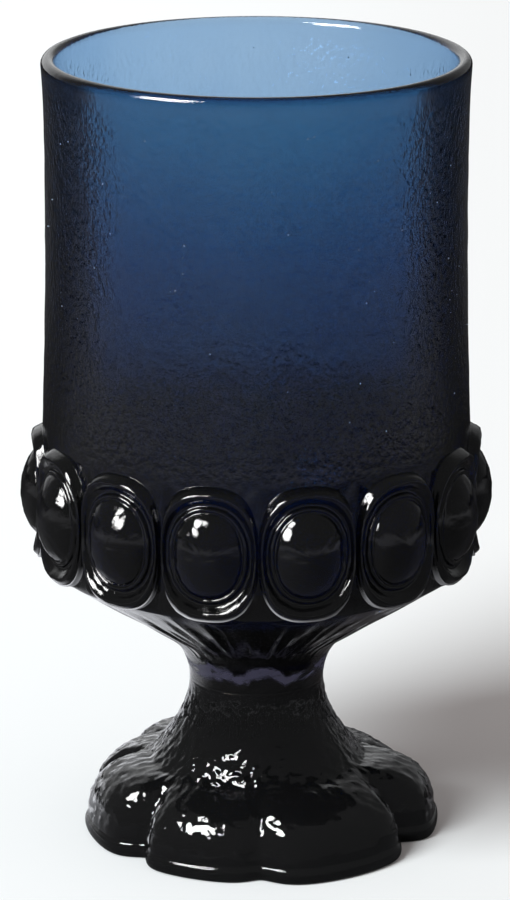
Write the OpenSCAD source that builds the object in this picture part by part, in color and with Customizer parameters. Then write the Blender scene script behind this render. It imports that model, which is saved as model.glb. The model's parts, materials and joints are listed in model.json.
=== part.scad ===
/* [Heights] */
// Height of the foot, from the table to where the lobes leave the stem
foot_h = 20.8; // [17:0.2:26]
// Height of the bare stem, from the top of the foot to the waist
stem_h = 10.2; // [8:0.2:16]
// Height of the bowl's underside, from the waist to the foot of the medallion band
underside_h = 25.2; // [23:0.2:30]
// Height of the medallion band
band_h = 26.5; // [24:0.5:30]
// Height of the plain wall, from the medallion band to the top of the rim
wall_h = 73.3; // [60:0.1:90]

/* [Bowl] */
// Outside diameter of the wall that the medallions sit on
seat_d = 83.6; // [80:0.4:89]
// How far the neck, a little below the rim, lies inside the wall at the medallions
neck_inset = 1.2; // [0.6:0.1:2]
// Distance from the top of the rim down to the neck
neck_drop = 19; // [14:1:28]
// How far the rim flares out past the neck
lip_flare = 0.5; // [0.2:0.1:1]
// Thickness of the wall at the rim
rim_wall = 2.8; // [2.4:0.1:3.6]
// Thickness of the wall at the medallion band
band_wall = 6.4; // [5:0.1:8]
// How far the middle of the bowl's floor lies below the foot of the band
floor_drop = 9; // [5:0.5:10]
// Height of the rounding between the bowl's wall and its floor, inside
floor_round = 19; // [14:1:26]

/* [Medallion band] */
// Number of medallions round the bowl
medallions = 14; // [12:1:16]
// Angle from the front to the middle of the first medallion
band_turn = 13.4; // [0:0.2:30]
// Width of a medallion's rounded frame at its sides
frame_side_w = 1.2; // [1:0.1:1.7]
// Width of a medallion's rounded frame at its top and bottom
frame_end_w = 3; // [2.4:0.1:3.6]
// How far a frame stands out of the wall at its sides
frame_side_rise = 1.5; // [1.2:0.1:2]
// How far a frame stands out of the wall at its top and bottom
frame_end_rise = 2.2; // [1.7:0.1:2.8]
// Width of the hollow between a frame and its cabochon
groove_w = 0.7; // [0.5:0.1:1]
// Width of the thin lip round a cabochon
lip_w = 1; // [0.8:0.1:1.4]
// How far the lip round a cabochon stands out of the wall
lip_rise = 1.7; // [1.3:0.1:2.1]
// Depth of the crease between the lip and the dome of a cabochon
crease_depth = 0.5; // [0.3:0.1:0.8]
// How far the dome of a cabochon stands out of the wall
dome_rise = 4.6; // [3.6:0.1:5.4]

/* [Underside and stem] */
// Radius of the rounding where the wall turns in below the band
shoulder_round = 2.5; // [1.5:0.1:4]
// How far above the foot of the band the wall starts to turn in
turn_in = 1.8; // [1:0.1:3]
// Diameter of the waist, the narrowest place
waist_d = 26.6; // [24:0.2:29]
// Radius of the hollow rounding above the waist
waist_round = 12.5; // [9:0.5:15]
// Diameter of the stem where the lobes leave it
hub_d = 33; // [31:0.2:36]

/* [Foot] */
// Distance from the axis to the end of the longest lobe
foot_r = 36.3; // [34:0.1:40]
// Distance from the axis to the outer end of a valley between two lobes
valley_r = 28.9; // [27:0.1:30.5]
// Height of a lobe's top above the bottom plate
toe_h = 11.2; // [10:0.1:13]
// Height of a valley above the bottom plate
valley_h = 6.6; // [5:0.2:8]
// Thickness of the foot's bottom plate
plate_h = 2.8; // [2.2:0.1:3.8]
// How far the rounded edge of the bottom plate stands out of the lobes
bead_rise = 0.7; // [0.4:0.1:1]
// Diameter of the shallow hollow under the foot
hollow_d = 47; // [38:1:51]
// Depth of the hollow under the foot
hollow_depth = 1.4; // [0.8:0.1:1.8]

/* [Hidden] */

// Glass colours: the bare wall lets light through, the thick parts are almost black
wall_blue = [0.16, 0.30, 0.45, 0.55];
thick_blue = [0.06, 0.09, 0.15];
dome_blue = [0.09, 0.13, 0.21];

// Heights and radii that the pieces share
waist_z = foot_h + stem_h;
band_z = waist_z + underside_h;
band_mid_z = band_z + band_h / 2;
band_top_z = band_z + band_h;
total_h = band_top_z + wall_h;
seat_r = seat_d / 2;
neck_r = seat_r - neck_inset;
neck_z = total_h - neck_drop;
rim_r = neck_r + lip_flare;
inner_r = seat_r - band_wall;
waist_r = waist_d / 2;
hub_r = hub_d / 2;
pitch = 360 / medallions;
cell_w = PI * seat_d / medallions;

// One overrun serves every cut, and one sink holds a faceted piece's back inside the wall
overrun = 2;
sink = 1.5;

// Rounded shoulder below the band, and the hollow rounding above the waist
seat_z = band_z + turn_in;
shoulder_x = seat_r - shoulder_round;
hollow_x = waist_r + waist_round;

// The straight slope that touches both roundings
slope_way = norm([shoulder_x - hollow_x, seat_z - waist_z]);
slope_angle = atan2(seat_z - waist_z, shoulder_x - hollow_x)
    - asin((waist_round + shoulder_round) / slope_way);

// Floor inside the bowl, and the place on its rounding where the wall stands on the base
floor_z = band_z - floor_drop;
split_angle = -asin((floor_z + floor_round - seat_z) / floor_round);

// Valleys between the foot's lobes, as angles from the front, and each lobe's share of
// the longest lobe's distance from the axis and of the height of a lobe's top
valley_angles = [-98, -46, 1, 64, 105, 146, 184, 236, 262];
reach_shares = [0.935, 0.925, 0.975, 0.985, 0.93, 0.95, 0.97, 0.93];
top_shares = [1, 0.74, 0.78, 0.98, 0.68, 1, 0.97, 0.8];
lobes = len(reach_shares);

// The lobes leave the stem in its own slope, and bend out before this share of the way to the toe
flare_slope = 2 * (hub_r - waist_r) / stem_h;
shelf_share = 0.4;

// Squareness of an outline: 2 is an oval, and more is nearer to an oblong
frame_squareness = 2.8;
oval_squareness = 2.2;
toe_squareness = 6;

// Rings of a cabochon's dome, as shares of the way from its edge to its top
dome_shares = [0.12, 0.32, 0.6, 0.85];

// Steps of the curves
arc_steps = 10;
wall_steps = 8;
outline_steps = 20;
bead_steps = 5;
lobe_steps = 10;

// Points on an arc in the plane of a profile
function arc(x, z, rx, rz, from, to, steps = arc_steps) =
    [for (i = [0:steps]) let (a = from + (to - from) * i / steps) [x + rx * cos(a), z + rz * sin(a)]];

// Curve from one point to another, rounded off from the corner between them
function bend(from, corner, to, steps) =
    [for (i = [0:steps]) let (t = i / steps) pow(1 - t, 2) * from + 2 * t * (1 - t) * corner + t * t * to];

// Point at an angle from the front, a distance from the axis and a height
function around(angle, r, z) = [r * sin(angle), -r * cos(angle), z];

// Width in degrees of an arc length on the wall that the medallions sit on
function on_wall(length) = length / seat_r * 180 / PI;

// Rounding between the wall and the floor inside the bowl, between two angles
function floor_line(from, to) = arc(0, floor_z + floor_round, inner_r, floor_round, from, to);

// Closed solid through rings of points, with flat ends, joined round or ending in a tip
module skin(rings, wrap = false, tip = []) {
    n = len(rings[0]);
    m = len(rings);
    sides = [for (i = [0:m - (wrap ? 1 : 2)]) for (j = [0:n - 1])
        let (next = (j + 1) % n, up = (i + 1) % m)
        each [[i * n + j, i * n + next, up * n + next], [i * n + j, up * n + next, up * n + j]]];
    start = wrap ? [] : [[for (j = [n - 1:-1:0]) j]];
    end = wrap ? [] : len(tip) > 0
        ? [for (j = [0:n - 1]) [(m - 1) * n + j, (m - 1) * n + (j + 1) % n, m * n]]
        : [[for (j = [0:n - 1]) (m - 1) * n + j]];
    polyhedron(points = [for (ring = rings) each ring, each tip], faces = concat(sides, start, end));
}

// Wall of the bowl: straight seat, neck and flared lip outside, rounded rim, tapered inside
module bowl_wall() {
    rim_round = rim_wall / 2;
    lip_z = total_h - rim_round;
    outer_wall = [for (i = [0:wall_steps]) let (s = i / wall_steps)
        [neck_r + (seat_r - neck_r) * pow(1 - s, 2), band_top_z + (neck_z - band_top_z) * s]];
    lip = [for (i = [1:wall_steps - 1]) let (s = i / wall_steps)
        [neck_r + (rim_r - neck_r) * s * s, neck_z + (lip_z - neck_z) * s]];
    rim = arc(rim_r - rim_round, lip_z, rim_round, rim_round, 0, 180);
    color(wall_blue)
    rotate_extrude($fn = 120)
    polygon(concat(
        [[seat_r, seat_z]], outer_wall, lip, rim, [[inner_r, band_top_z]], floor_line(0, split_angle)
    ));
}

// Base of the bowl: the dished floor inside, and the underside swept in to the waist
module bowl_base() {
    slope = arc(hollow_x, waist_z, waist_round, waist_round, 180, 90 + slope_angle);
    shoulder = arc(shoulder_x, seat_z, shoulder_round, shoulder_round, slope_angle - 90, 0);
    color(thick_blue)
    rotate_extrude($fn = 120)
    polygon(concat([[0, waist_z]], slope, shoulder, floor_line(split_angle, -90)));
}

// Stem: flares from the waist down to the top of the lobes
module stem() {
    flare = [for (i = [0:wall_steps]) let (s = i / wall_steps)
        [hub_r - (hub_r - waist_r) * (1 - pow(1 - s, 2)), foot_h + stem_h * s]];
    color(thick_blue)
    rotate_extrude($fn = 120)
    polygon(concat([[0, foot_h]], flare, [[0, waist_z]]));
}

// Share of a half width or half height at a place on an outline between an oval and an oblong
function outline_share(wave, squareness) = sign(wave) * pow(abs(wave), 2 / squareness);

// Ring round a medallion, drawn in from its cell at the sides and the ends
function medallion_ring(side_inset, end_inset, side_rise, end_rise, squareness) =
    [for (i = [0:outline_steps - 1])
        let (
            a = 360 * i / outline_steps,
            angle = outline_share(cos(a), squareness) * (pitch / 2 - on_wall(side_inset)),
            up = outline_share(sin(a), squareness) * (band_h / 2 - end_inset),
            rise = side_rise + (end_rise - side_rise) * abs(sin(a))
        )
        around(angle, seat_r + rise, band_mid_z + up)];

// Outside of the bowl's wall, carried on up and down, which the medallions are cut back to
module wall_core() {
    cylinder(r = seat_r, h = total_h, $fn = 120);
}

// Frame of a medallion: a rounded bead round its cell, which touches the frames beside it
module medallion_frame() {
    bead = [for (i = [1:bead_steps - 1])
        let (a = 180 * i / bead_steps, inward = (1 - cos(a)) / 2)
        medallion_ring(
            frame_side_w * inward, frame_end_w * inward,
            frame_side_rise * sin(a), frame_end_rise * sin(a),
            frame_squareness + (oval_squareness - frame_squareness) * inward
        )];
    back = [
        medallion_ring(frame_side_w, frame_end_w, -sink, -sink, oval_squareness),
        medallion_ring(0, 0, -sink, -sink, frame_squareness)
    ];
    color(thick_blue)
    difference() {
        skin(concat(bead, back), wrap = true);
        wall_core();
    }
}

// Cabochon: an oval dome inside a thin lip, set in the middle of its frame
module cabochon() {
    side = frame_side_w + groove_w;
    end = frame_end_w + groove_w;
    crease_rise = lip_rise - crease_depth;
    dome_half_w = cell_w / 2 - side - lip_w;
    dome_half_h = band_h / 2 - end - lip_w;
    edge = medallion_ring(side, end, -sink, -sink, oval_squareness);
    back = [for (p = edge) [p[0], -(seat_r - sink) * cos(pitch / 2), p[2]]];
    lip = [
        medallion_ring(side, end, lip_rise / 2, lip_rise / 2, oval_squareness),
        medallion_ring(side + lip_w / 2, end + lip_w / 2, lip_rise, lip_rise, oval_squareness),
        medallion_ring(side + lip_w, end + lip_w, crease_rise, crease_rise, oval_squareness)
    ];
    dome = [for (share = dome_shares)
        let (rise = crease_rise + (dome_rise - crease_rise) * sqrt(1 - pow(1 - share, 2)))
        medallion_ring(
            side + lip_w + dome_half_w * share, end + lip_w + dome_half_h * share,
            rise, rise, oval_squareness
        )];
    color(dome_blue)
    difference() {
        skin(concat([back], lip, dome), tip = [around(0, seat_r + dome_rise, band_mid_z)]);
        wall_core();
    }
}

// Fullness of a lobe across its width: none in the rounded valleys, one along its crest
function fullness(s) = pow(1 - pow(abs(2 * s - 1), toe_squareness), 2);

// Share of a lobe's width at a step across it, with the steps closer together near the valleys
function across_share(i) = (1 - cos(180 * i / lobe_steps)) / 2;

// Distance from the axis to the end of lobe k, at a share of its width
function lobe_reach(k, s) = valley_r + (foot_r * reach_shares[k] - valley_r) * fullness(s);

// Angle from the front at a share of the width of lobe k
function lobe_angle(k, s) = valley_angles[k] + (valley_angles[k + 1] - valley_angles[k]) * s;

// Line over lobe k at a share of its width: down the slope of the stem, out and round the toe
function lobe_line(k, s) =
    let (
        reach = lobe_reach(k, s),
        top = plate_h + valley_h + (toe_h * top_shares[k] - valley_h) * fullness(s),
        flare_x = hub_r + (foot_h - top) * flare_slope,
        shelf_x = flare_x + (reach - flare_x) * shelf_share,
        shelf = [shelf_x, top],
        flare = bend([hub_r, foot_h], [flare_x, top], shelf, lobe_steps / 2),
        toe = bend(shelf, [reach, top], [reach, plate_h], lobe_steps / 2)
    )
    [for (i = [0:lobe_steps])
        let (p = i < lobe_steps / 2 ? flare[i] : toe[i - lobe_steps / 2])
        around(lobe_angle(k, s), p[0], p[1])];

// Lobe of the foot: a wedge from the axis out to a rounded toe, between the stem and the plate
module foot_lobe(k) {
    n = lobe_steps + 1;
    top = n * n;
    bottom = top + 1;
    over = [for (i = [0:lobe_steps - 1]) for (j = [0:lobe_steps - 1])
        let (a = i * n + j, b = a + n)
        each [[a, a + 1, b + 1], [a, b + 1, b]]];
    flats = [for (i = [0:lobe_steps - 1])
        let (a = i * n, b = a + n)
        each [[top, a, b], [a + lobe_steps, bottom, b + lobe_steps]]];
    start = [bottom, for (j = [lobe_steps:-1:0]) j, top];
    end = [top, for (j = [0:lobe_steps]) lobe_steps * n + j, bottom];
    color(thick_blue)
    polyhedron(
        points = [for (i = [0:lobe_steps]) each lobe_line(k, across_share(i)),
            [0, 0, foot_h], [0, 0, plate_h]],
        faces = concat(over, flats, [start, end])
    );
}

// Outline of the foot at a height, drawn out of the lobes or into them
function foot_ring(z, out) =
    [for (k = [0:lobes - 1]) for (i = [0:lobe_steps - 1])
        let (s = across_share(i))
        around(lobe_angle(k, s), lobe_reach(k, s) + out, z)];

// Bottom plate of the foot: lobed, with a rounded edge and a shallow hollow underneath
module foot_plate() {
    hollow_round = (pow(hollow_d / 2, 2) + pow(hollow_depth, 2)) / (2 * hollow_depth);
    edge = [for (i = [0:bead_steps])
        let (a = 180 * i / bead_steps)
        foot_ring(plate_h * (1 - cos(a)) / 2, bead_rise * sin(a))];
    color(thick_blue)
    difference() {
        skin(concat([foot_ring(-overrun, 0)], edge, [foot_ring(plate_h + overrun, 0)]));
        translate([0, 0, -2 * overrun])
        cylinder(r = 2 * foot_r, h = 2 * overrun);
        translate([0, 0, plate_h])
        cylinder(r = 2 * foot_r, h = 2 * overrun);
        translate([0, 0, hollow_depth - hollow_round])
        sphere(r = hollow_round, $fn = 120);
    }
}

bowl_wall();
bowl_base();
stem();
foot_plate();
for (k = [1:medallions]) {
    rotate([0, 0, band_turn + pitch * (k - 1)]) medallion_frame();
    rotate([0, 0, band_turn + pitch * (k - 1)]) cabochon();
}
for (k = [1:lobes])
    foot_lobe(k - 1);
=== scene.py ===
# Footed drinking glass in deep blue pressed glass, on a pale table, seen from a little above
import json
import math

import bmesh
import bpy
from mathutils import Matrix, Vector

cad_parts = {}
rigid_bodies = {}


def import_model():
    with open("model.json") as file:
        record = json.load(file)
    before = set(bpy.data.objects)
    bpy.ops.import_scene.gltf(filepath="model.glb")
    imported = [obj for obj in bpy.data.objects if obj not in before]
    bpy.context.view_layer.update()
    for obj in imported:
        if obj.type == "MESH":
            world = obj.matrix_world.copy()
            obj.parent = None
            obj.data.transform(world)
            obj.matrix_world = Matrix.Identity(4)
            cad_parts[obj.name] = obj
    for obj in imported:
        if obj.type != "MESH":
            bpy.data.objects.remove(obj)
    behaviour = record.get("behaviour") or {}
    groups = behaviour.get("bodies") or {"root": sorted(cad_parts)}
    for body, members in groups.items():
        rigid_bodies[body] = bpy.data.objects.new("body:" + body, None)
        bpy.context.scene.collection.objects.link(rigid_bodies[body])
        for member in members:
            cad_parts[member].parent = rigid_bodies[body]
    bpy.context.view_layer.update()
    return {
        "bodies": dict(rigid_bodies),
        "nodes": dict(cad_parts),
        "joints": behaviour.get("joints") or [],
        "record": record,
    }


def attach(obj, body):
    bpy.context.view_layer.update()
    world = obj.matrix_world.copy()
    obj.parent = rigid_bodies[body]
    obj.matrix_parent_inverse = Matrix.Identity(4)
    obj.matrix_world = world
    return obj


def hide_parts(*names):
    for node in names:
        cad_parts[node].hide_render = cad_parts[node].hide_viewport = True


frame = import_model()
print("frame:", len(frame["nodes"]), "nodes")

mm = 0.001
merge = 0.0005 * mm  # points closer than this are one


def addObject(name, data):  # at the origin, unturned
    thing = bpy.data.objects.new(name, data)
    bpy.context.collection.objects.link(thing)
    return thing


# The camera, at the photograph's viewing angle

cameraSet = {
    "lens": 159.34,
    "sensor": 36,  # mm, along the long side
    "pitch": 16.8,  # degrees down
    "distance": 0.7803,
    "aim": (-0.00028, 0.0, 0.07745),
    "clip": (0.01, 30),
}


def makeCamera(s):
    data = bpy.data.cameras.new("camera")
    data.lens = s["lens"]
    data.sensor_width = s["sensor"]
    data.clip_start, data.clip_end = s["clip"]
    camera = addObject("camera", data)
    pitch = math.radians(s["pitch"])
    back = Vector((0, -math.cos(pitch), math.sin(pitch)))
    camera.location = Vector(s["aim"]) + back * s["distance"]
    camera.rotation_euler = (math.pi / 2 - pitch, 0, 0)
    bpy.context.scene.camera = camera


makeCamera(cameraSet)
print("camera placed")


# Node trees, for shapes and for finishes


class Signal:  # a number socket: an expression on it adds its Math nodes
    def __init__(self, graph, socket):
        self.graph, self.socket = graph, socket

    def math(self, operation, *others):  # with this number first
        return self.graph.math(operation, self, *others)

    def __add__(self, other):
        return self.math("ADD", other)

    def __sub__(self, other):
        return self.math("SUBTRACT", other)

    def __rsub__(self, other):
        return self.graph.math("SUBTRACT", other, self)

    def __mul__(self, other):
        return self.math("MULTIPLY", other)

    def __truediv__(self, other):
        return self.math("DIVIDE", other)

    def __rtruediv__(self, other):
        return self.graph.math("DIVIDE", other, self)

    __radd__, __rmul__ = __add__, __mul__

    def step(self, low, high):  # 0 below low, 1 above high, smooth between
        settings = {"interpolation_type": "SMOOTHSTEP"}
        return self.graph.add("ShaderNodeMapRange", settings, {0: self, 1: low, 2: high}, 0)


class Graph:  # adds nodes to a tree
    def __init__(self, tree):
        self.tree = tree

    def add(self, kind, settings=None, inputs=None, out=None):
        node = self.tree.nodes.new(kind)
        for name, value in (settings or {}).items():
            if name == "stops":
                fillRamp(node.color_ramp, value)
            else:
                setattr(node, name, value)
        for name, value in (inputs or {}).items():
            self.feed(node.inputs[name], value)
        return node if out is None else Signal(self, node.outputs[out])

    def feed(self, socket, value):
        if isinstance(value, Signal):
            value = value.socket
        if isinstance(value, bpy.types.NodeSocket):
            self.tree.links.new(value, socket)
        else:
            socket.default_value = value

    def math(self, operation, *values):
        return self.add("ShaderNodeMath", {"operation": operation}, dict(enumerate(values)), 0)

    def split(self, vector):  # its three numbers
        parts = self.add("ShaderNodeSeparateXYZ", None, {0: vector}).outputs
        return [Signal(self, parts[i]) for i in range(3)]

    def vector(self, x=0.0, y=0.0, z=0.0):
        return self.add("ShaderNodeCombineXYZ", None, {0: x, 1: y, 2: z}).outputs[0]

    def blend(self, factor, first, second):  # a colour between two
        inputs = {0: factor, 6: first, 7: second}
        return self.add("ShaderNodeMix", {"data_type": "RGBA"}, inputs).outputs[2]

    def ramp(self, level, stops):
        return self.add("ShaderNodeValToRGB", {"stops": stops}, {0: level}).outputs[0]

    def place(self):  # Object coordinates
        return self.add("ShaderNodeTexCoord").outputs["Object"]

    def noise(self, scale, detail):  # scale is the number of grains to the metre, along each axis
        spot = self.add("ShaderNodeMapping", None, {"Vector": self.place(), "Scale": scale})
        inputs = {"Vector": spot.outputs[0], "Scale": 1.0, "Detail": detail}
        return self.add("ShaderNodeTexNoise", None, inputs, 0)


def fillRamp(ramp, stops):
    while len(ramp.elements) < len(stops):
        ramp.elements.new(1)
    for element, (place, colour) in zip(ramp.elements, stops):
        element.position, element.color = place, colour


def newFinish(name):  # an empty material and its graph
    material = bpy.data.materials.new(name)
    material.use_nodes = True
    material.node_tree.nodes.clear()
    return material, Graph(material.node_tree)


def geometryTree(name, sizes):  # a tree with its sizes as named inputs
    tree = bpy.data.node_groups.new(name, "GeometryNodeTree")
    tree.interface.new_socket("Geometry", in_out="INPUT", socket_type="NodeSocketGeometry")
    for key, value in sizes.items():
        kind = "NodeSocketInt" if isinstance(value, int) else "NodeSocketFloat"
        tree.interface.new_socket(key, in_out="INPUT", socket_type=kind)
    tree.interface.new_socket("Finish", in_out="INPUT", socket_type="NodeSocketMaterial")
    tree.interface.new_socket("Geometry", in_out="OUTPUT", socket_type="NodeSocketGeometry")
    graph = Graph(tree)
    return graph, graph.add("NodeGroupInput").outputs


def endTree(graph, given, geometry):  # every tree ends in Realize Instances and Set Material
    real = graph.add("GeometryNodeRealizeInstances", None, {0: geometry})
    inputs = {"Geometry": real.outputs[0], "Material": given["Finish"]}
    last = graph.add("GeometryNodeSetMaterial", None, inputs)
    graph.add("NodeGroupOutput", None, {0: last.outputs[0]})
    return graph.tree


def grown(mesh, tree, sizes, finish):  # the mesh that the tree makes of another
    source = addObject("source", mesh)
    modifier = source.modifiers.new("tree", "NODES")
    modifier.node_group = tree
    values = {**sizes, "Finish": finish}
    for item in tree.interface.items_tree:
        if item.in_out == "INPUT" and item.name in values:
            modifier[item.identifier] = values[item.name]
    bpy.context.view_layer.update()
    seen = source.evaluated_get(bpy.context.evaluated_depsgraph_get())
    made = bpy.data.meshes.new_from_object(seen)
    source.modifiers.remove(modifier)
    bpy.data.objects.remove(source)
    return made


# Trees that turn, repeat, hammer and scatter


def turnedTree():  # turns a profile round the axis: its points are the mesh's, in order
    graph, given = geometryTree("turned", {"Columns": 1, "Rows": 1})
    columns, rows = Signal(graph, given["Columns"]), Signal(graph, given["Rows"])
    sheet = graph.add(
        "GeometryNodeMeshGrid",
        None,
        {"Size X": 1.0, "Size Y": 1.0, "Vertices X": columns + 1, "Vertices Y": rows},
    )
    place = graph.add("GeometryNodeInputPosition").outputs[0]
    across, along, _ = graph.split(place)
    row = (along + 0.5) * (rows - 1)
    index = graph.add("FunctionNodeFloatToInt", {"rounding_mode": "ROUND"}, {0: row}).outputs[0]
    point = graph.add(
        "GeometryNodeSampleIndex",
        {"data_type": "FLOAT_VECTOR"},
        {"Geometry": given["Geometry"], "Value": place, "Index": index},
    )
    radius, _, height = graph.split(point.outputs[0])
    angle = (across + 0.5) * math.tau
    turned = graph.vector(radius * angle.math("SINE"), radius * angle.math("COSINE") * -1, height)
    inputs = {"Geometry": sheet.outputs["Mesh"], "Position": turned}
    moved = graph.add("GeometryNodeSetPosition", None, inputs)
    closed = graph.add("GeometryNodeMergeByDistance", None, {0: moved.outputs[0], "Distance": merge})
    return endTree(graph, given, closed.outputs[0])


def ringTree():  # repeats a patch round the axis and joins its edges
    graph, given = geometryTree("ring of patches", {"Count": 1, "Turn": 0.0})
    spots = graph.add("GeometryNodePoints", None, {0: given["Count"]})
    number = graph.add("GeometryNodeInputIndex", None, None, 0)
    turn = number * (math.tau / Signal(graph, given["Count"])) + given["Turn"]
    copies = graph.add(
        "GeometryNodeInstanceOnPoints",
        None,
        {"Points": spots.outputs[0], "Instance": given["Geometry"], "Rotation": graph.vector(z=turn)},
    )
    real = graph.add("GeometryNodeRealizeInstances", None, {0: copies.outputs[0]})
    closed = graph.add("GeometryNodeMergeByDistance", None, {0: real.outputs[0], "Distance": merge})
    return endTree(graph, given, closed.outputs[0])


fanRadius = 20 * mm  # where a fanned grain is as wide as its Width


def hammerTree():  # moves a surface in and out by noise, between two heights and outside a radius
    names = ("Depth", "Width", "Height", "Low", "High", "Fade", "Outside", "Fan", "Seed")
    graph, given = geometryTree("hammered", dict.fromkeys(names, 0.0))
    depth, width, height, low, high, fade, outside, fan, seed = (
        Signal(graph, given[name]) for name in names
    )
    x, y, z = graph.split(graph.add("GeometryNodeInputPosition").outputs[0])
    distance = (x * x + y * y).math("SQRT") + merge
    spread = (1 - fan + fan * fanRadius / distance) / width  # with Fan 1 the grain runs out from the axis
    spot = graph.vector(x * spread, y * spread, z / height)
    grain = graph.add(
        "ShaderNodeTexNoise",
        {"noise_dimensions": "4D"},
        {"Vector": spot, "W": seed, "Scale": 1.0, "Detail": 1.5},
        0,
    )
    inside = z.step(low, low + fade) * (1 - z.step(high - fade, high))
    shown = inside * distance.math("GREATER_THAN", outside)
    normal = graph.add("GeometryNodeInputNormal").outputs[0]
    inputs = {0: normal, "Scale": (grain - 0.5) * 2 * depth * shown}
    offset = graph.add("ShaderNodeVectorMath", {"operation": "SCALE"}, inputs).outputs[0]
    inputs = {"Geometry": given["Geometry"], "Offset": offset}
    moved = graph.add("GeometryNodeSetPosition", None, inputs)
    return endTree(graph, given, moved.outputs[0])


def seedTree():  # scatters small balls over a surface
    sizes = {"Density": 0.0, "Radius": 0.0, "Smallest": 0.0, "Largest": 0.0, "Seed": 1}
    graph, given = geometryTree("seeds", sizes)
    spots = graph.add(
        "GeometryNodeDistributePointsOnFaces",
        None,
        {"Mesh": given["Geometry"], "Density": given["Density"], "Seed": given["Seed"]},
    )
    ball = graph.add("GeometryNodeMeshIcoSphere", None, {"Radius": given["Radius"], "Subdivisions": 2})
    inputs = {2: given["Smallest"], 3: given["Largest"], "Seed": given["Seed"]}
    size = graph.add("FunctionNodeRandomValue", None, inputs, 1)
    balls = graph.add(
        "GeometryNodeInstanceOnPoints",
        None,
        {"Points": spots.outputs[0], "Instance": ball.outputs[0], "Scale": size},
    )
    return endTree(graph, given, balls.outputs[0])


turned, ringOf, hammered = turnedTree(), ringTree(), hammerTree()


# Meshes, in mm


def meshOf(name, points, faces=()):
    mesh = bpy.data.meshes.new(name)
    mesh.from_pydata([tuple(p) for p in points], [], list(faces))
    return mesh


def turnedMesh(points, columns, finish):  # points are (radius, height)
    profile = meshOf("profile", [(x * mm, 0, z * mm) for x, z in points])
    return grown(profile, turned, {"Columns": columns, "Rows": len(points)}, finish)


def hammer(mesh, s, finish):  # lengths in mm; fan and seed are bare numbers
    sizes = {key.capitalize(): value * mm for key, value in s.items()}
    sizes.update(Fan=s.get("fan", 0.0), Seed=s["seed"])
    return grown(mesh, hammered, sizes, finish)


def smooth(mesh):
    for face in mesh.polygons:
        face.use_smooth = True


def joined(name, meshes, finish):  # one closed shell, smooth, with its faces outwards
    shell = bmesh.new()
    for mesh in meshes:
        shell.from_mesh(mesh)
    bmesh.ops.remove_doubles(shell, verts=shell.verts, dist=2 * merge)
    bmesh.ops.recalc_face_normals(shell, faces=shell.faces)
    for face in shell.faces:
        face.material_index = 0
    loose = [e for e in shell.edges if len(e.link_faces) != 2]
    print(name, "faces:", len(shell.faces), "open edges:", len(loose))
    made = bpy.data.meshes.new(name)
    shell.to_mesh(made)
    shell.free()
    smooth(made)
    made.materials.append(finish)
    return addObject(name, made)


def arc(x, z, rx, rz, start, end, steps):
    turns = [math.radians(start + (end - start) * i / steps) for i in range(steps + 1)]
    return [(x + rx * math.cos(a), z + rz * math.sin(a)) for a in turns]


def around(angle, radius, height):  # degrees from the front, mm
    a = math.radians(angle)
    return (radius * math.sin(a) * mm, -radius * math.cos(a) * mm, height * mm)


# The cells of the medallion band, which the bowl's shape and its finish share

bandSet = {
    "count": 14,
    "turn": 13.4,  # degrees from the front to the middle of the first cell
    "foot": 56.2,  # heights in mm
    "top": 82.7,
    "squareness": 2.8,  # of the frames' outline: 2 is an oval, and more is squarer
}


# The glass: one finish, set once for the bowl and once for the thick foot

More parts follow.
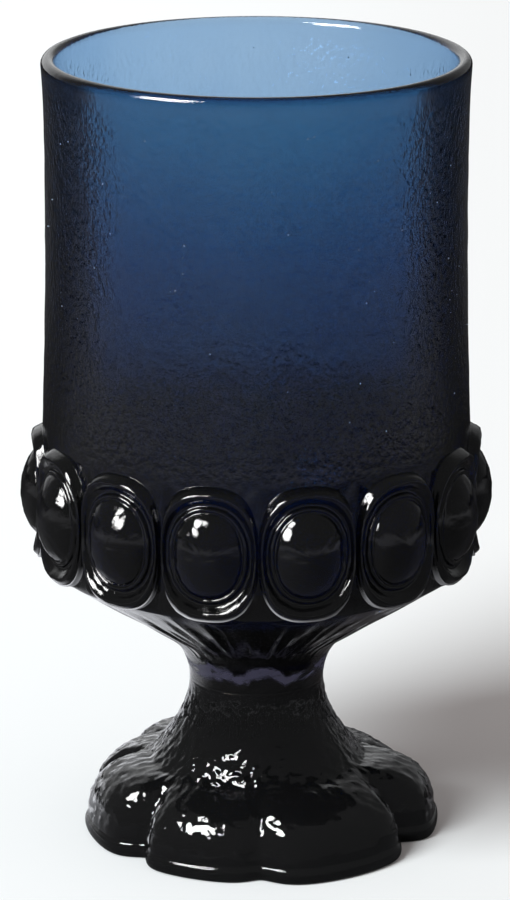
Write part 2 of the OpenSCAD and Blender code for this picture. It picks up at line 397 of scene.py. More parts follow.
commonGlass = {
    "ior": 1.52,
    "wallStep": 0.6,  # mm of radius over which the inside passes into the outside
    "dish": (0.626, 33.5),  # slope and height in mm of a cone between the bowl's floor and its underside
    "bumpDistance": 0.4,  # mm
    "calm": 0.15,  # share of the strokes that is left outside the relief
    "pitShare": 0.04,
    "dullPits": (0.45, 0.75),  # pits from the first to the second value turn from clear to dull
    "cordStops": (0.3, 0.62),
    "depthTop": 160,  # mm, the height at which the depth colours reach 1
    "cloudShift": 0.09,  # how far the clouds move the depth colours up and down
    # the pale skin: a thin dust haze everywhere, plus painted reflection in the strands and painted light
    # along the frames' lower edges
    "dustAndSheen": (0.5, 0.5, 0.53, 1),
    "dustAndSheenRough": 0.4,
}
bowlGlassSet = {
    **commonGlass,
    "tint": (0.10, 0.42, 0.68, 1),
    "density": 500.0,
    "inside": 39.2,  # mm, the largest radius of the bowl's inside
    "depth": [  # the outer skin's colour by height: thick glass below lets little light through
        (0.4, (0.004, 0.003, 0.002, 1)),
        (0.5, (0.010, 0.008, 0.007, 1)),
        (0.54, (0.03, 0.018, 0.012, 1)),
        (0.62, (0.25, 0.11, 0.045, 1)),
        (0.68, (0.36, 0.21, 0.12, 1)),
        (0.8, (0.09, 0.19, 0.20, 1)),
        (0.95, (0.09, 0.29, 0.31, 1)),
    ],
    "flank": (0.3, 0.42),  # facing at which the skin passes into the flank's colour, darker here: partly the longer path through the glass, partly painted shade
    "flankColour": (0.02, 0.012, 0.012, 1),
    "strokes": (900, 900, 750),  # grains to the metre along x, y and z, as for the four below
    "pits": (5200, 5200, 5200),
    "cords": (60, 60, 14),
    "cordColour": (0.93, 0.95, 0.97, 1),
    "clouds": (26, 26, 45),
    "relief": (82, 88, 148, 154),  # mm, where the strokes rise and fall away again
    "bump": 0.65,
    "rough": (0.01, 0.03),
    "haze": 0.002,  # the least share of the pale dust anywhere
    # pale strands where the glass turns away: painted reflection
    "strands": {
        "low": 37,  # mm
        "high": 56,
        "ends": (3, 1),  # mm of fading at the lower and the upper end
        "length": 40,
        "count": 15.0,
        "grain": (0.5, 0.62),  # noise from the first to the second value turns from bare glass to painted reflection
        "edge": (0.78, 0.95),  # the same for how far the glass faces away
        "side": (0.0, 0.8),  # and for how far round to the right it lies
        "sideLoss": 0.0,
        "strength": 0.55,
    },
    # a painted line of light along the lower edge of each frame
    "scallop": {
        **bandSet,
        "line": (0.965, 0.995),  # inner and outer edge as shares of a cell's half width
        "soft": 0.01,
        "below": (12, 7),  # mm under the cell's middle, where the line starts to show
        "strength": 0.4,
    },
}
footGlassSet = {
    **commonGlass,
    "tint": (0.10, 0.25, 0.42, 1),
    "density": 800.0,
    "inside": 0.0,
    "depth": [(0.0, (0.25, 0.2, 0.25, 1)), (1.0, (0.25, 0.2, 0.25, 1))],
    # the foot's skin is painted a little paler where it faces far away: painted light at its thin edges
    "flank": (0.9, 1.0),
    "flankColour": (0.3, 0.3, 0.35, 1),
    "strokes": (420, 420, 420),
    "pits": (2600, 2600, 2600),
    "cords": (120, 120, 120),
    "cordColour": (0.9, 0.92, 0.95, 1),
    "clouds": (1, 1, 1),
    "relief": (0, 4, 60, 70),
    "bump": 0.3,
    "rough": (0.01, 0.04),
    "haze": 0.004,
    "strands": {
        "low": 2,
        "high": 31,
        "ends": (3, 1),
        "length": 30,
        "count": 22.0,
        "grain": (0.5, 0.62),
        "edge": (0.45, 0.85),
        "side": (0.0, 0.8),
        # fewer strands to the right: painted shade, where the glass's own shadow lies behind
        "sideLoss": 0.6,
        "strength": 0.5,
    },
}


def outsideMask(s, radius, z):  # 1 on the outside of the glass, 0 inside the bowl
    wall = radius.step(s["inside"] * mm, (s["inside"] + s["wallStep"]) * mm)
    slope, height = s["dish"]
    return wall.math("MAXIMUM", z.math("LESS_THAN", radius * slope + height * mm))


def skinBump(graph, s, z, outside, pits):
    low, lowEnd, high, highEnd = (value * mm for value in s["relief"])
    relief = z.step(low, lowEnd) * (1 - z.step(high, highEnd))
    strokes = graph.noise(s["strokes"], 2.0) * outside * (relief * (1 - s["calm"]) + s["calm"])
    height = strokes + pits * s["pitShare"]
    inputs = {"Strength": s["bump"], "Distance": s["bumpDistance"] * mm, "Height": height}
    return graph.add("ShaderNodeBump", None, inputs).outputs[0]


def glassColour(graph, s, z, outside, facing):
    # thick glass swallows light at its outer skin, more so low down; where the skin faces away it passes
    # into a flank colour, darker on the bowl (partly the longer path, partly painted shade) and a little
    # paler on the foot (painted light)
    cloud = graph.noise(s["clouds"], 2.0)
    level = z / (s["depthTop"] * mm) + (cloud - 0.5) * s["cloudShift"]
    skin = graph.blend(facing.step(*s["flank"]), graph.ramp(level, s["depth"]), s["flankColour"])
    stops = zip(s["cordStops"], (s["cordColour"], (1, 1, 1, 1)))
    clear = graph.ramp(graph.noise(s["cords"], 1.0), list(stops))
    front = 1 - graph.add("ShaderNodeNewGeometry", None, None, "Backfacing")
    return graph.blend(outside * front, clear, skin)


def strandMask(graph, s, sine, cosine, z, facing):  # pale strands where the glass turns away: painted reflection of the bright backdrop
    inputs = {"Scale": s["count"], "Detail": 3.0, "Distortion": 0.3}
    inputs["Vector"] = graph.vector(sine, cosine, z / (s["length"] * mm))
    grain = graph.add("ShaderNodeTexNoise", None, inputs, 0)
    low, high = s["low"] * mm, s["high"] * mm
    lowFade, highFade = (value * mm for value in s["ends"])
    inside = z.step(low, low + lowFade) * (1 - z.step(high - highFade, high))
    # fewer strands to the right: painted shade, where the glass's own shadow lies behind
    inside = inside * (1 - sine.step(*s["side"]) * s["sideLoss"])
    return grain.step(*s["grain"]) * facing.step(*s["edge"]) * inside * s["strength"]


def scallopMask(s, x, y, z):  # a painted line of light along the lower edge of each frame
    angle = x.math("ARCTAN2", y * -1)
    place = (angle - math.radians(s["turn"])) / (math.tau / s["count"]) + 0.5
    middle, half = (s["top"] + s["foot"]) / 2, (s["top"] - s["foot"]) / 2
    u = (place.math("FRACT") - 0.5) * 2
    v = (z / mm - middle) / half
    square = s["squareness"]
    u, v = (q.math("ABSOLUTE").math("POWER", square) for q in (u, v))
    away = (u + v).math("POWER", 1 / square)
    start, end = s["line"]
    line = away.step(start - s["soft"], start) * (1 - away.step(end, end + s["soft"]))
    low, high = ((middle - drop) * mm for drop in s["below"])
    return line * (1 - z.step(low, high)) * s["strength"]


def glassFinish(name, s):
    material, graph = newFinish(name)
    x, y, z = graph.split(graph.place())
    radius = (x * x + y * y).math("SQRT")
    outside = outsideMask(s, radius, z)
    pits = graph.noise(s["pits"], 3.0)
    bump = skinBump(graph, s, z, outside, pits)
    facing = graph.add("ShaderNodeLayerWeight", None, {"Blend": 0.5, "Normal": bump}, "Facing")
    glass = graph.add(
        "ShaderNodeBsdfPrincipled",
        None,
        {
            "Base Color": glassColour(graph, s, z, outside, facing),
            "Roughness": pits.step(*s["dullPits"]) * s["rough"][1] + s["rough"][0],
            "Normal": bump,
            "IOR": s["ior"],
            "Transmission Weight": 1.0,
        },
    ).outputs[0]
    # painted reflection in pale strands at the edges, and a painted line of light under each frame
    paintedSheen = strandMask(graph, s["strands"], x / radius, y / radius, z, facing)
    if "scallop" in s:
        paintedSheen = paintedSheen.math("MAXIMUM", scallopMask(s["scallop"], x, y, z))
    inputs = {"Base Color": s["dustAndSheen"], "Roughness": s["dustAndSheenRough"]}
    pale = graph.add("ShaderNodeBsdfPrincipled", None, inputs).outputs[0]
    inputs = {0: paintedSheen.math("MAXIMUM", s["haze"]), 1: glass, 2: pale}
    glassWithDustAndSheen = graph.add("ShaderNodeMixShader", None, inputs).outputs[0]
    inputs = {"Color": s["tint"], "Density": s["density"]}
    body = graph.add("ShaderNodeVolumeAbsorption", None, inputs).outputs[0]
    graph.add("ShaderNodeOutputMaterial", None, {"Surface": glassWithDustAndSheen, "Volume": body})
    return material


bowlGlass = glassFinish("deep blue glass", bowlGlassSet)
footGlass = glassFinish("thick dark glass", footGlassSet)
print("finishes made")


# The bowl: wall, medallion band and underside are one shell of glass, with sizes in mm

bowlSet = {
    "top": 156.0,
    "rim": 41.1,  # outside radius, as are neck and seat
    "rimWall": 2.8,
    "neck": 40.6,  # the narrowest place of the wall
    "neckHeight": 137.0,
    "seat": 41.8,  # where the medallions sit
    "bandTop": bandSet["top"],
    "bandFoot": bandSet["foot"],
    "inner": 35.4,  # inside radius at the band
    "floor": 47.2,  # height of the floor's middle, inside
    "floorRound": 19.0,
    "shoulder": 2.5,
    "turnIn": 1.8,
    "waist": 13.3,  # radius
    "waistHeight": 31.0,
    "waistRound": 12.5,
    "waistLand": (0.06, 0.05),  # narrow rings above and inside the waist's corner keep it crisp
    "columns": 336,
    "wallRows": 60,
    "rimRows": 12,
    "insideRows": 24,
    "floorRows": 16,
    "shoulderRows": 4,
    "slopeRows": 12,
    "hollowRows": 14,
    "ripple": {
        "depth": 0.15,
        "width": 5.0,
        "height": 6.0,
        "low": 83.0,
        "high": 154.0,
        "fade": 6.0,
        "outside": 39.6,
        "seed": 3.0,
    },
    "streaks": {
        "depth": 1.0,
        "width": 1.3,
        "height": 16.0,
        "low": 37.0,
        "high": 56.0,
        "fade": 7.0,
        "fan": 1.0,
        "seed": 7.0,
    },
    "castSkin": {
        "depth": 0.22,
        "width": 1.8,
        "height": 1.8,
        "low": 56.4,
        "high": 82.5,
        "fade": 1.0,
        "seed": 5.0,
    },
}


def wallProfile(s):  # from the top of the band up over the rim and down inside to the axis
    rimRound = s["rimWall"] / 2
    lip = s["top"] - rimRound
    points = []
    for i in range(s["wallRows"] + 1):
        z = s["bandTop"] + (lip - s["bandTop"]) * i / s["wallRows"]
        if z < s["neckHeight"]:
            t = (z - s["bandTop"]) / (s["neckHeight"] - s["bandTop"])
            points.append((s["neck"] + (s["seat"] - s["neck"]) * (1 - t) ** 2, z))
        else:
            t = (z - s["neckHeight"]) / (lip - s["neckHeight"])
            points.append((s["neck"] + (s["rim"] - s["neck"]) * t * t, z))
    points += arc(s["rim"] - rimRound, lip, rimRound, rimRound, 0, 180, s["rimRows"])[1:]
    top = s["rim"] - s["rimWall"]
    for i in range(1, s["insideRows"] + 1):
        t = i / s["insideRows"]
        points.append((top + (s["inner"] - top) * t, lip + (s["bandTop"] - lip) * t))
    middle = s["floor"] + s["floorRound"]
    points.append((s["inner"], (s["bandTop"] + middle) / 2))
    points += arc(0, middle, s["inner"], s["floorRound"], 0, -90, s["floorRows"])
    return points[:-1] + [(0, s["floor"])]


def shoulderRadius(s, z):  # the wall's outside, where it turns in below the band
    below = s["bandFoot"] + s["turnIn"] - z
    if below <= 0:
        return s["seat"]
    return s["seat"] - s["shoulder"] + math.sqrt(s["shoulder"] ** 2 - below**2)


def undersideProfile(s):  # from the foot of the band in to the waist
    shoulderX, shoulderZ = s["seat"] - s["shoulder"], s["bandFoot"] + s["turnIn"]
    hollowX = s["waist"] + s["waistRound"]
    run, rise = shoulderX - hollowX, shoulderZ - s["waistHeight"]
    both = s["waistRound"] + s["shoulder"]
    slope = math.degrees(math.atan2(rise, run) - math.asin(both / math.hypot(run, rise)))
    start = -math.degrees(math.asin(s["turnIn"] / s["shoulder"]))
    shoulder = arc(
        shoulderX, shoulderZ, s["shoulder"], s["shoulder"], start, slope - 90, s["shoulderRows"]
    )
    hollow = arc(
        hollowX, s["waistHeight"], s["waistRound"], s["waistRound"], 90 + slope, 180, s["hollowRows"]
    )
    (x0, z0), (x1, z1) = shoulder[-1], hollow[0]
    shares = [i / s["slopeRows"] for i in range(1, s["slopeRows"])]
    line = [(x0 + (x1 - x0) * t, z0 + (z1 - z0) * t) for t in shares]
    above, within = s["waistLand"]
    end = [(s["waist"], s["waistHeight"] + above), (s["waist"], s["waistHeight"])]
    end += [(s["waist"] - within, s["waistHeight"]), (0, s["waistHeight"])]
    return shoulder + line + hollow[:-1] + end


# A medallion is made as rings, each with its inset and rise at the sides and at the ends

medallionSet = {
    **bandSet,
    "frameSide": (1.2, 1.5),  # width and rise of the frame's bead at the sides
    "frameEnd": (3.0, 2.2),  # the same at the top and bottom
    "groove": 0.7,
    "grooveFloor": 0.36,  # the groove's height as a share of the bead's
    "lip": (1.0, 1.45),
    "crease": 0.25,
    "dome": 4.5,
    "domePower": 0.72,
    "ovalSquareness": 2.2,
    "flat": (0.04, 0.08),  # insets of two flat rings that keep the corners between frames flush
    # inset, rise, and how much further it stands out below, of each ring of a thin ledge
    "ledge": ((0.14, 0.2, 0.7), (0.24, 0.4, 0.9), (0.36, 0.65, 0.7), (0.5, 0.85, 0.1)),
    "fill": 0.35,  # rise of the glass between two frames, where they touch
    "fillReach": 0.62,  # share of the band's half height over which they touch
    "beadShares": (0.26, 0.4, 0.5, 0.6, 0.74, 0.86, 0.95),
    "grooveShares": (0.3, 0.75),
    "lipShares": ((0.02, 0.05), (0.12, 0.5), (0.3, 0.87), (0.5, 1), (0.7, 0.93), (0.88, 0.6)),
    "domeShares": (0, 0.03, 0.08, 0.15, 0.24, 0.35, 0.48, 0.63, 0.8, 0.93),
    "across": 24,
    "up": 20,
}


def cellBorder(m):  # the points round a cell that runs from -1 to 1 both ways
    border = [(1 - 2 * i / m["across"], 1) for i in range(m["across"])]
    border += [(-1, 1 - 2 * i / m["up"]) for i in range(m["up"])]
    border += [(2 * i / m["across"] - 1, -1) for i in range(m["across"])]
    return border + [(1, 2 * i / m["up"] - 1) for i in range(m["up"])]


def medallionSteps(b, m, half):  # side inset, end inset, side rise, end rise, squareness, ledge
    frame, oval = m["squareness"], m["ovalSquareness"]
    steps = [(inset, inset, 0, 0, frame, 0) for inset in m["flat"]]
    # a thin ledge left by the mould under each frame
    steps += [(inset, inset, rise, rise, frame, ledge) for inset, rise, ledge in m["ledge"]]
    (sideWidth, sideRise), (endWidth, endRise) = m["frameSide"], m["frameEnd"]
    for q in m["beadShares"]:
        bead = math.sin(math.pi * q)
        if q > 0.5:
            bead = m["grooveFloor"] + (1 - m["grooveFloor"]) * bead
        square = frame + (oval - frame) * q
        steps.append((sideWidth * q, endWidth * q, sideRise * bead, endRise * bead, square, 0))
    side, end = sideWidth, endWidth
    floor = (sideRise * m["grooveFloor"], endRise * m["grooveFloor"])
    for q in m["grooveShares"]:
        steps.append((side + m["groove"] * q, end + m["groove"] * q, *floor, oval, 0))
    side, end = side + m["groove"], end + m["groove"]
    lipWidth, lipRise = m["lip"]
    low = lipRise - m["crease"]
    for q, share in m["lipShares"]:
        base = floor[1] if q < 0.5 else low
        rise = base + (lipRise - base) * share
        steps.append((side + lipWidth * q, end + lipWidth * q, rise, rise, oval, 0))
    side, end = side + lipWidth, end + lipWidth
    halfWidth = math.pi * b["seat"] / m["count"] - side
    for q in m["domeShares"]:
        rise = low + (m["dome"] - low) * (1 - (1 - q) ** 2) ** m["domePower"]
        steps.append((side + halfWidth * q, end + (half - end) * q, rise, rise, oval, 0))
    return steps


def medallionPatch(b, m):  # one cell of the band, from its border in to the dome's top
    half = (b["bandTop"] - b["bandFoot"]) / 2
    middle = b["bandFoot"] + half
    halfAngle = 180 / m["count"]
    border = cellBorder(m)
    points = []
    for u, v in border:
        z = middle + v * half
        fill = m["fill"] * max(0, 1 - (v / m["fillReach"]) ** 2) if abs(u) == 1 else 0
        points.append(around(u * halfAngle, shoulderRadius(b, z) + fill, z))
    steps = medallionSteps(b, m, half)
    for side, end, sideRise, endRise, square, ledge in steps:
        reach = halfAngle - math.degrees(side / b["seat"])
        for u, v in border:
            k = (abs(u) ** square + abs(v) ** square) ** (-1 / square)
            ends = abs(k * v) ** (square / 2)
            rise = sideRise + (endRise - sideRise) * ends + ledge * max(0, -k * v)
            points.append(around(k * u * reach, b["seat"] + rise, middle + k * v * (half - end)))
    points.append(around(0, b["seat"] + m["dome"], middle))
    n, last = len(border), len(points) - 1
    faces = [
        (i * n + j, i * n + (j + 1) % n, (i + 1) * n + (j + 1) % n, (i + 1) * n + j)
        for i in range(len(steps))
        for j in range(n)
    ]
    faces += [(last - n + j, last - n + (j + 1) % n, last) for j in range(n)]
    return meshOf("medallion", points, faces)


def makeBowl(b, m, finish):
    wall = turnedMesh(wallProfile(b), b["columns"], finish)
    underside = turnedMesh(undersideProfile(b), b["columns"], finish)
    # the band's border has one point for each column of the wall, so the columns start at a border
    start = math.radians(m["turn"] - 180 / m["count"])
    for mesh in (wall, underside):
        mesh.transform(Matrix.Rotation(start, 4, "Z"))
    wall = hammer(wall, b["ripple"], finish)
    underside = hammer(underside, b["streaks"], finish)
    sizes = {"Count": m["count"], "Turn": math.radians(m["turn"])}
    band = grown(medallionPatch(b, m), ringOf, sizes, finish)
    band = hammer(band, b["castSkin"], finish)
    return joined("bowl", [wall, band, underside], finish)


bowl = makeBowl(bowlSet, medallionSet, bowlGlass)
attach(bowl, "root")
count = medallionSet["count"]
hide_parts("bowl_wall", "bowl_base")
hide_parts(*[f"medallion_frame_{k}" for k in range(1, count + 1)])
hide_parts(*[f"cabochon_{k}" for k in range(1, count + 1)])
print("bowl made")


# The foot: stem, eight lobes and bottom plate, with sizes in mm

footSet = {
    "waist": bowlSet["waist"],
    "waistHeight": bowlSet["waistHeight"],
    "cap": ((0.1, 0.3), (0.04, 0.28)),  # insets and rises of the foot's top, a little inside the bowl
    "hub": 16.5,  # radius of the stem where the lobes leave it
    "height": 20.8,
    "reach": 36.3,  # radius of the longest lobe
    "valley": 28.9,
    "toe": 11.2,  # height of the highest lobe above the plate
    "valleyHeight": 6.6,
    "plate": 2.8,
    "bead": 0.7,
    "hollow": 23.5,
    "hollowDepth": 1.4,
    "squareness": 6,  # of a lobe's outline
    "knee": (22.0, 14.4),  # radius and height where the flare passes into a lobe
    "valleys": (-98, -46, 1, 64, 105, 146, 184, 236, 262),  # degrees, the last is the first again
    "valleyShares": (1, 1.04, 1.1, 1.04, 1, 1, 1, 1, 1),  # the front valleys are shallow
    "reachShares": (0.935, 0.925, 0.975, 0.985, 0.93, 0.95, 0.97, 0.93),
    "toeShares": (1, 0.74, 0.78, 0.98, 0.68, 1, 0.97, 0.8),
    "columns": 60,  # to a lobe
    "stemRows": 18,
    "flareRows": 20,
    "lobeRows": 28,
    "beadRows": 8,
    "hollowRows": 8,
    "dimples": {
        "depth": 0.45,
        "width": 1.4,
        "height": 1.4,
        "low": 2.5,
        "high": 31.0,
        "fade": 3.0,
        "seed": 11.0,
    },
}


def bend(start, corner, end, steps):  # a curve rounded off from the corner between two points
    shares = [i / steps for i in range(steps)]
    return [
        tuple((1 - t) ** 2 * a + 2 * t * (1 - t) * c + t * t * b for a, c, b in zip(start, corner, end))
        for t in shares
    ]


def footLine(s, k, share):  # from the axis at the waist, out over a lobe and back under to the axis
    full = (1 - abs(2 * share - 1) ** s["squareness"]) ** 2
    before, after = s["valleyShares"][k], s["valleyShares"][k + 1]
    valley = s["valley"] * (before + (after - before) * share)
    reach = valley + (s["reach"] * s["reachShares"][k] - valley) * full
    top = s["plate"] + s["valleyHeight"] + (s["toe"] * s["toeShares"][k] - s["valleyHeight"]) * full
    line = [(0.0, s["waistHeight"] + s["cap"][0][1])]
    line += [(s["waist"] - inset, s["waistHeight"] + rise) for inset, rise in s["cap"]]
    stem, waist, hub = s["waistHeight"] - s["height"], s["waist"], s["hub"]
    for i in range(s["stemRows"]):
        t = i / s["stemRows"]
        line.append((hub - (hub - waist) * (1 - t**2), s["height"] + stem * (1 - t)))
    # the flare keeps the stem's slope at its top and the lobe's own slope where it meets the knee
    kneeX, kneeZ = s["knee"]
    flare, fall = 2 * (hub - waist) / stem, (kneeZ - top) / (reach - kneeX)
    z = kneeZ + fall * (kneeX - hub - flare * s["height"])
    z /= 1 - fall * flare
    corner = (hub + flare * (s["height"] - z), z)
    line += bend((hub, s["height"]), corner, s["knee"], s["flareRows"])
    line += bend(s["knee"], (reach, top), (reach, s["plate"]), s["lobeRows"])
    for i in range(s["beadRows"] + 1):
        a = math.pi * i / s["beadRows"]
        line.append((reach + s["bead"] * math.sin(a), s["plate"] * (1 + math.cos(a)) / 2))
    line.append(((reach + s["hollow"]) / 2, 0.0))
    curve = (s["hollow"] ** 2 + s["hollowDepth"] ** 2) / (2 * s["hollowDepth"])
    for i in range(s["hollowRows"], -1, -1):
        r = s["hollow"] * i / s["hollowRows"]
        line.append((r, s["hollowDepth"] - curve + math.sqrt(curve**2 - r * r)))
    return line


def makeFoot(s, finish):
    points = []
    for k in range(len(s["reachShares"])):
        for i in range(s["columns"]):
            share = (1 - math.cos(math.pi * i / s["columns"])) / 2
            angle = s["valleys"][k] + (s["valleys"][k + 1] - s["valleys"][k]) * share
            line = footLine(s, k, share)
            points += [around(angle, x, z) for x, z in line]
    n = len(line)
    columns = len(points) // n
    faces = [
        (i * n + j, i * n + j + 1, (i + 1) % columns * n + j + 1, (i + 1) % columns * n + j)
        for i in range(columns)
        for j in range(n - 1)
    ]
    plain = joined("plain foot", [meshOf("foot", points, faces)], finish)
    shape = hammer(plain.data, s["dimples"], finish)
    bpy.data.objects.remove(plain)
    return joined("foot", [shape], finish)


foot = makeFoot(footSet, footGlass)
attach(foot, "root")
lobes = len(footSet["reachShares"])
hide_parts("stem", "foot_plate", *[f"foot_lobe_{k}" for k in range(1, lobes + 1)])
print("foot made")


# The seam of the hot joint at the waist, a ragged cloudy film on the glass, with sizes in mm

seamSet = {
    "off": 0.05,  # outside the glass
    "low": 31.4,
    "high": 38.5,
    "rows": 16,
    "middle": 34.6,
    "wander": 10.0,  # how far the seam strays up and down
    "ragged": 1.6,
    "edge": (0.57, 1.805),  # from the film's full strength out to nothing
    "slow": (130, 130, 40),  # grains to the metre along x, y and z
    "fine": (700, 700, 900),
    "torn": (260, 260, 500),
    "tears": (0.36, 0.52),
    "alpha": 0.85,
    "rough": (0.25, 0.4),
    "colour": (0.055, 0.052, 0.092, 1),
}


def seamFinish(s):
    material, graph = newFinish("cloudy seam")
    z = graph.split(graph.place())[2]
    slow, fine = graph.noise(s["slow"], 1.0), graph.noise(s["fine"], 3.0)
    torn = graph.noise(s["torn"], 2.0)
    away = z / mm - s["middle"] - (slow - 0.5) * s["wander"] - (fine - 0.5) * s["ragged"]
    film = 1 - away.math("ABSOLUTE").step(*s["edge"])
    shader = graph.add(
        "ShaderNodeBsdfPrincipled",
        None,
        {
            "Base Color": s["colour"],
            "Roughness": fine * s["rough"][1] + s["rough"][0],
            "Alpha": film * torn.step(*s["tears"]) * s["alpha"],
        },
    )
    graph.add("ShaderNodeOutputMaterial", None, {"Surface": shader.outputs[0]})
    return material


def makeSeam(s, b):
    points = []
    for i in range(s["rows"] + 1):
        z = s["low"] + (s["high"] - s["low"]) * i / s["rows"]
        rise = z - b["waistHeight"]
        r = b["waist"] + b["waistRound"] - math.sqrt(b["waistRound"] ** 2 - rise**2)
        points.append((r + s["off"], z))
    film = turnedMesh(points, b["columns"], seamFinish(s))
    smooth(film)
    return addObject("waist_seam", film)


seam = makeSeam(seamSet, bowlSet)
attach(seam, "root")
print("seam made")


# Seeds, the tiny bubbles in the outer skin of the wall

seedSet = {
    "low": 90.0,
    "high": 150.0,
    "depth": 0.05,  # mm below the skin
    "radius": 0.1,
    "smallest": 0.5,  # shares of the radius
    "largest": 1.5,
    "density": 9000.0,  # to the square metre
    "seed": 4,
    "colour": (0.42, 0.5, 0.62, 1),
    "rough": 0.2,
}


def makeSeeds(s, b):
    finish, graph = newFinish("bubbles")
    inputs = {"Base Color": s["colour"], "Roughness": s["rough"]}
    shader = graph.add("ShaderNodeBsdfPrincipled", None, inputs).outputs[0]
    graph.add("ShaderNodeOutputMaterial", None, {"Surface": shader})
    outer = wallProfile(b)[: b["wallRows"] + 1]
    skin = [(r - s["depth"], z) for r, z in outer if s["low"] < z < s["high"]]
    sizes = {"Density": s["density"], "Radius": s["radius"] * mm, "Seed": s["seed"]}
    sizes.update(Smallest=s["smallest"], Largest=s["largest"])
    balls = grown(turnedMesh(skin, b["columns"], finish), seedTree(), sizes, finish)
    smooth(balls)
    return addObject("seeds", balls)


seeds = makeSeeds(seedSet, bowlSet)
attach(seeds, "root")
print("seeds made, faces:", len(seeds.data.polygons))


# The table. What the glass mirrors of it is a painted reflection: dimmer than what shows and dimmer still
# behind, with a brighter ring, a bright strip behind the foot and painted shade to the right

tableSet = {
    "half": 6.0,
    "height": -0.1,  # mm, just clear of the glass
    # the paper is painted paler on the left, toward the sun, and greyer to the right: painted light
    # falloff
    "left": (0.95, 0.965, 0.975, 1),
    "right": (0.86, 0.86, 0.86, 1),
    "leftToRight": (-0.1, 0.14),
    "near": 0.14,  # how bright the mirrored table is near the glass
    "ring": (0.26, 0.5),  # metres from the axis to where a brighter ring starts and is full
    "ringGain": 0.3,
    "far": (0.6, 1.0),  # and to where it starts to fade and is gone
    "farLoss": 0.24,
    # the mirrored table is darker to the right: painted shade, where the glass's shadow lies
    "rightSide": (-0.1, 0.12),  # metres along x
    "rightLoss": 0.065,
    "back": (0.0, 0.26),  # metres along y
    "backLoss": 0.88,
    "blue": 1.04,
    "strip": {  # a bright strip just behind the foot, on both sides of it, in metres: painted reflection that the stem's edges mirror as pale strands
        "from": (0.01, 0.03),
        "to": (0.07, 0.1),
        "right": (-0.03, 0.03),
        # the strip is dimmer to the right: painted shade
        "rightLoss": 0.85,
        "start": (-0.02, 0.03),
        "end": (0.12, 0.18),
        "colour": (0.9, 0.9, 0.95, 1),
    },
}


def mirrorRays(graph):  # 1 for what the glass reflects, 0 for what is seen through it or straight
    path = graph.add("ShaderNodeLightPath").outputs
    return Signal(graph, path["Is Glossy Ray"]) * (1 - Signal(graph, path["Is Transmission Ray"]))


def stripMask(s, x, y):
    aside = x.math("ABSOLUTE")
    beside = aside.step(*s["from"]) * (1 - aside.step(*s["to"]))
    beside = beside * (1 - x.step(*s["right"]) * s["rightLoss"])
    return beside * (y.step(*s["start"]) * (1 - y.step(*s["end"])))


def tableFinish(s):
    material, graph = newFinish("pale table")
    x, y, _ = graph.split(graph.place())
    # painted light falloff from left to right
    paperWithPaintedFalloff = graph.blend(x.step(*s["leftToRight"]), s["left"], s["right"])
    away = (x * x + y * y).math("SQRT")
    level = s["near"] + away.step(*s["ring"]) * s["ringGain"] - away.step(*s["far"]) * s["farLoss"]
    level = level - x.step(*s["rightSide"]) * s["rightLoss"]
    level = level * (1 - y.step(*s["back"]) * s["backLoss"])
    dim = graph.add("ShaderNodeCombineColor", None, {0: level, 1: level, 2: level * s["blue"]})
    mirrored = graph.blend(stripMask(s["strip"], x, y), dim.outputs[0], s["strip"]["colour"])
    colour = graph.blend(mirrorRays(graph), paperWithPaintedFalloff, mirrored)
    shader = graph.add("ShaderNodeBsdfDiffuse", None, {"Color": colour}).outputs[0]
    graph.add("ShaderNodeOutputMaterial", None, {"Surface": shader})
    return material


def makeTable(s):
    r, z = s["half"], s["height"] * mm
    corners = [(-r, -r, z), (r, -r, z), (r, r, z), (-r, r, z)]
    table = addObject("table", meshOf("table", corners, [(0, 1, 2, 3)]))
    table.data.materials.append(tableFinish(s))


# The room's light, seen straight, mirrored in the glass, and falling on things

roomSet = {
    "seen": 0.97,  # how bright it is when seen straight
    "falling": 0.33,
    "mirrored": 0.13,
    "backdrop": (0.5, 0.9),  # the pale backdrop shows only in what looks away
    "backdropGain": 0.82,
    "right": (0.0, 0.3),
    "rightLoss": 0.7,
    "seenColour": (0.97, 0.985, 1, 1),
    "fallingColour": (1, 0.92, 0.9, 1),
}


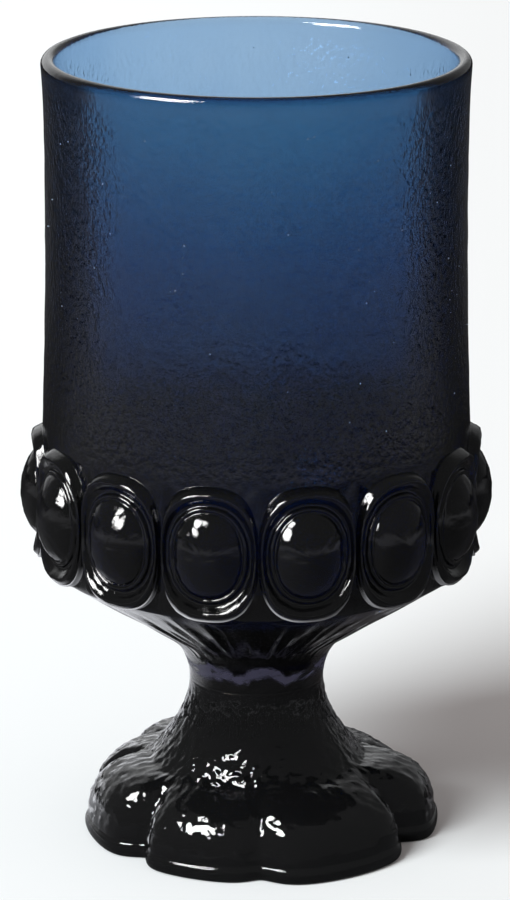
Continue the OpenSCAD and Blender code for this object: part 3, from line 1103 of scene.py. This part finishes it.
def makeRoom(s):
    world = bpy.data.worlds.new("studio")
    bpy.context.scene.world = world
    world.use_nodes = True
    world.node_tree.nodes.clear()
    graph = Graph(world.node_tree)
    side, back, _ = graph.split(graph.add("ShaderNodeTexCoord").outputs["Generated"])
    falling = graph.add("ShaderNodeLightPath", None, None, "Is Diffuse Ray")
    gain = s["backdropGain"] - side.step(*s["right"]) * s["rightLoss"]
    mirrored = s["mirrored"] + back.step(*s["backdrop"]) * gain
    strength = s["seen"] - falling * (s["seen"] - s["falling"])
    strength = strength + mirrorRays(graph) * (mirrored - s["seen"])
    colour = graph.blend(falling, s["seenColour"], s["fallingColour"])
    light = graph.add("ShaderNodeBackground", None, {"Color": colour, "Strength": strength})
    graph.add("ShaderNodeOutputWorld", None, {"Surface": light.outputs[0]})


# The sun, and the window panes that the glass mirrors, each linked to one piece

lightSet = {
    "sun": {
        "energy": 3.6,
        "colour": (0.94, 0.99, 1),
        "softness": 30,  # degrees
        "azimuth": -49,
        "elevation": 42,
        "distance": 2,
    },
    "paneWidth": 0.42,
    "paneGlow": 30,  # a pane's radiance
    "paneDistance": 0.9,
    "paneAim": (0, 0, 0.08),
    "panes": (  # name, azimuth, elevation, height, what it lights
        ("low", -50, 20, 0.22, bowl),
        ("middle", -50, 38, 0.22, bowl),
        ("high", -56, 52, 0.26, foot),
    ),
}


def aimed(light, azimuth, elevation, distance, at):
    a, e = math.radians(azimuth), math.radians(elevation)
    way = Vector((math.sin(a) * math.cos(e), -math.cos(a) * math.cos(e), math.sin(e)))
    light.location = Vector(at) + way * distance
    light.rotation_euler = way.to_track_quat("Z", "Y").to_euler()


def makeSun(s):
    sun = bpy.data.lights.new("sun", "SUN")
    sun.energy = s["energy"]
    sun.color = s["colour"]
    sun.angle = math.radians(s["softness"])
    lamp = addObject("sun", sun)
    lamp.visible_glossy = lamp.visible_transmission = False
    aimed(lamp, s["azimuth"], s["elevation"], s["distance"], (0, 0, 0))


def makePane(s, name, azimuth, elevation, height, lit):
    data = bpy.data.lights.new("pane " + name, "AREA")
    data.shape = "RECTANGLE"
    data.size, data.size_y = s["paneWidth"], height
    data.energy = s["paneGlow"] * math.pi * data.size * data.size_y
    pane = addObject("pane " + name, data)
    pane.visible_camera = False
    only = bpy.data.collections.new("lit by the pane " + name)
    only.objects.link(lit)
    pane.light_linking.receiver_collection = only
    aimed(pane, azimuth, elevation, s["paneDistance"], s["paneAim"])


makeTable(tableSet)
makeRoom(roomSet)
makeSun(lightSet["sun"])
for paneRow in lightSet["panes"]:
    makePane(lightSet, *paneRow)
scene = bpy.context.scene
scene.view_settings.view_transform = "Standard"
scene.cycles.caustics_reflective = scene.cycles.caustics_refractive = False
scene.cycles.max_bounces = scene.cycles.transmission_bounces = 24
print("studio made")
